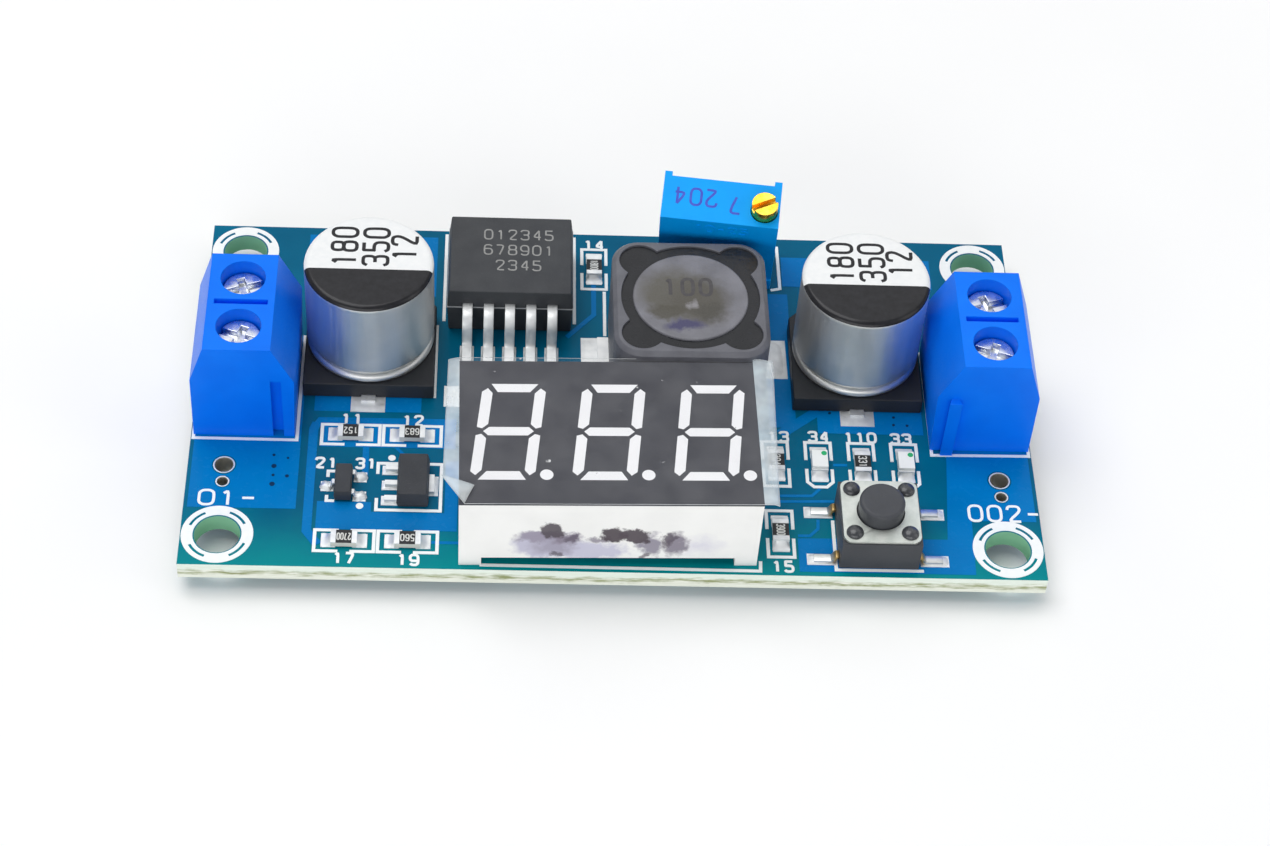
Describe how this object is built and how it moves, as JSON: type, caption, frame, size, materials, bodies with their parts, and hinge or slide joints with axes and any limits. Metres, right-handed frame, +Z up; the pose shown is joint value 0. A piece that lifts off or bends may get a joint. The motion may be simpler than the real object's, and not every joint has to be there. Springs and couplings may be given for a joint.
{
  "type": "boost converter module",
  "caption": "Blue circuit board module that steps a voltage up: screw terminals at both ends, can capacitors, shielded inductor, leaning trimmer, digit display and a push switch.",
  "frame": {"origin": "under the middle of the board, level with the tips of the clipped pins that the module rests on", "axes": "+X from the input end to the output end, +Y from the display side to the trimmer side, +Z up"},
  "size_m": [0.066, 0.0354, 0.0145],
  "materials": {
    "solder_mask": "blue solder mask over glass fibre laminate, white print",
    "tinned_metal": "tinned, slightly uneven",
    "solder": "bright solder",
    "terminal_plastic": "blue moulded plastic",
    "screw_steel": "bright plated steel",
    "clamp_steel": "plated steel",
    "contact_brass": "tinned brass",
    "can_aluminium": "satin aluminium with a printed black half moon on a white top",
    "base_plastic": "black moulded plastic",
    "mould_compound": "dark grey moulding compound",
    "ferrite": "dark grey sintered ferrite",
    "copper_wire": "enamelled copper wire",
    "adhesive": "dark cured adhesive",
    "trimmer_plastic": "sky blue moulded plastic",
    "brass": "turned brass",
    "wheel_plastic": "natural moulded plastic",
    "ceramic": "fired ceramic plate",
    "display_white": "white moulded plastic with ink smears on the front side",
    "display_grey": "dark grey printed face",
    "segment_resin": "milky cast resin",
    "laminate": "bare glass fibre laminate",
    "clear_film": "clear protective film",
    "switch_metal": "plated steel sheet",
    "button_plastic": "dark moulded plastic",
    "spring_steel": "spring steel",
    "resistor_black": "black glass coat with white figures",
    "led_resin": "milky resin with a green mark"
  },
  "bodies": {
    "module": {"circuit_board": "solder_mask", "solder_pads": "tinned_metal", "solder_joints": "solder", "capacitor_terminals": "tinned_metal", "regulator_body": "mould_compound", "regulator_leadframe": "tinned_metal", "inductor_shield": "ferrite", "inductor_drum_core": "ferrite", "inductor_winding": "copper_wire", "inductor_adhesive": "adhesive", "inductor_terminals": "tinned_metal", "trimmer_housing": "trimmer_plastic", "trimmer_element": "ceramic", "trimmer_pins": "tinned_metal", "display_case": "display_white", "display_face": "display_grey", "display_segments": "segment_resin", "display_board": "laminate", "display_pins": "tinned_metal", "display_film": "clear_film", "switch_base": "base_plastic", "switch_cover": "switch_metal", "switch_dome": "spring_steel", "switch_terminals": "tinned_metal", "chip_end_caps": "tinned_metal", "input_led": "led_resin", "output_led": "led_resin", "three_lead_chip": "mould_compound", "supply_transistor": "mould_compound", "meter_chip": "mould_compound", "rectifier_diode": "mould_compound", "small_package_leads": "tinned_metal", "resistor_1": "resistor_black", "resistor_2": "resistor_black", "resistor_3": "resistor_black", "resistor_4": "resistor_black", "resistor_5": "resistor_black", "resistor_7": "resistor_black", "resistor_9": "resistor_black", "resistor_10": "resistor_black", "input_terminal_housing": "terminal_plastic", "input_contacts": "contact_brass", "input_capacitor_can": "can_aluminium", "input_capacitor_base": "base_plastic", "output_terminal_housing": "terminal_plastic", "output_contacts": "contact_brass", "output_capacitor_can": "can_aluminium", "output_capacitor_base": "base_plastic"},
    "input_screw_front": {"input_screw_front": "screw_steel"},
    "input_clamp_front": {"input_clamp_front": "clamp_steel"},
    "input_screw_back": {"input_screw_back": "screw_steel"},
    "input_clamp_back": {"input_clamp_back": "clamp_steel"},
    "output_screw_front": {"output_screw_front": "screw_steel"},
    "output_clamp_front": {"output_clamp_front": "clamp_steel"},
    "output_screw_back": {"output_screw_back": "screw_steel"},
    "output_clamp_back": {"output_clamp_back": "clamp_steel"},
    "trimmer_screw": {"trimmer_screw": "brass"},
    "trimmer_worm_wheel": {"trimmer_worm_wheel": "wheel_plastic"},
    "switch_button": {"switch_button": "button_plastic"}
  },
  "joints": [
    {"name": "input_screw_front_turn", "type": "hinge", "parent": "module", "child": "input_screw_front", "pos_m": [-0.02897, -0.0025, 0.0118], "axis": [0, 0, -1], "range_deg": [0, 1080]},
    {"name": "input_clamp_front_lift", "type": "slide", "parent": "module", "child": "input_clamp_front", "axis": [0, 0, 1], "range_m": [0, 0.0015]},
    {"name": "input_screw_back_turn", "type": "hinge", "parent": "module", "child": "input_screw_back", "pos_m": [-0.02897, 0.0025, 0.0118], "axis": [0, 0, -1], "range_deg": [0, 1080]},
    {"name": "input_clamp_back_lift", "type": "slide", "parent": "module", "child": "input_clamp_back", "axis": [0, 0, 1], "range_m": [0, 0.0015]},
    {"name": "output_screw_front_turn", "type": "hinge", "parent": "module", "child": "output_screw_front", "pos_m": [0.02897, -0.0025, 0.0118], "axis": [0, 0, -1], "range_deg": [0, 1080]},
    {"name": "output_clamp_front_lift", "type": "slide", "parent": "module", "child": "output_clamp_front", "axis": [0, 0, 1], "range_m": [0, 0.0015]},
    {"name": "output_screw_back_turn", "type": "hinge", "parent": "module", "child": "output_screw_back", "pos_m": [0.02897, 0.0025, 0.0118], "axis": [0, 0, -1], "range_deg": [0, 1080]},
    {"name": "output_clamp_back_lift", "type": "slide", "parent": "module", "child": "output_clamp_back", "axis": [0, 0, 1], "range_m": [0, 0.0015]},
    {"name": "trimmer_screw_turn", "type": "hinge", "parent": "module", "child": "trimmer_screw", "pos_m": [0.01169, 0.01088, 0.01364], "axis": [-0.0281, -0.2505, 0.9677], "range_deg": [-4500, 4500]},
    {"name": "trimmer_wheel_turn", "type": "hinge", "parent": "module", "child": "trimmer_worm_wheel", "pos_m": [0.0088, 0.01252, 0.00862], "axis": [0.1079, 0.9617, 0.2521], "range_deg": [-150, 150]},
    {"name": "switch_button_press", "type": "slide", "parent": "module", "child": "switch_button", "axis": [0, 0, -1], "range_m": [0, 0.00025], "stiffness_N_per_m": 4000}
  ],
  "couplings": [
    {"joint": "input_screw_front_turn", "follows": "input_clamp_front_lift", "rad_per_m": 12566},
    {"joint": "input_screw_back_turn", "follows": "input_clamp_back_lift", "rad_per_m": 12566},
    {"joint": "output_screw_front_turn", "follows": "output_clamp_front_lift", "rad_per_m": 12566},
    {"joint": "output_screw_back_turn", "follows": "output_clamp_back_lift", "rad_per_m": 12566},
    {"joint": "trimmer_wheel_turn", "follows": "trimmer_screw_turn", "ratio": 0.033333}
  ]
}
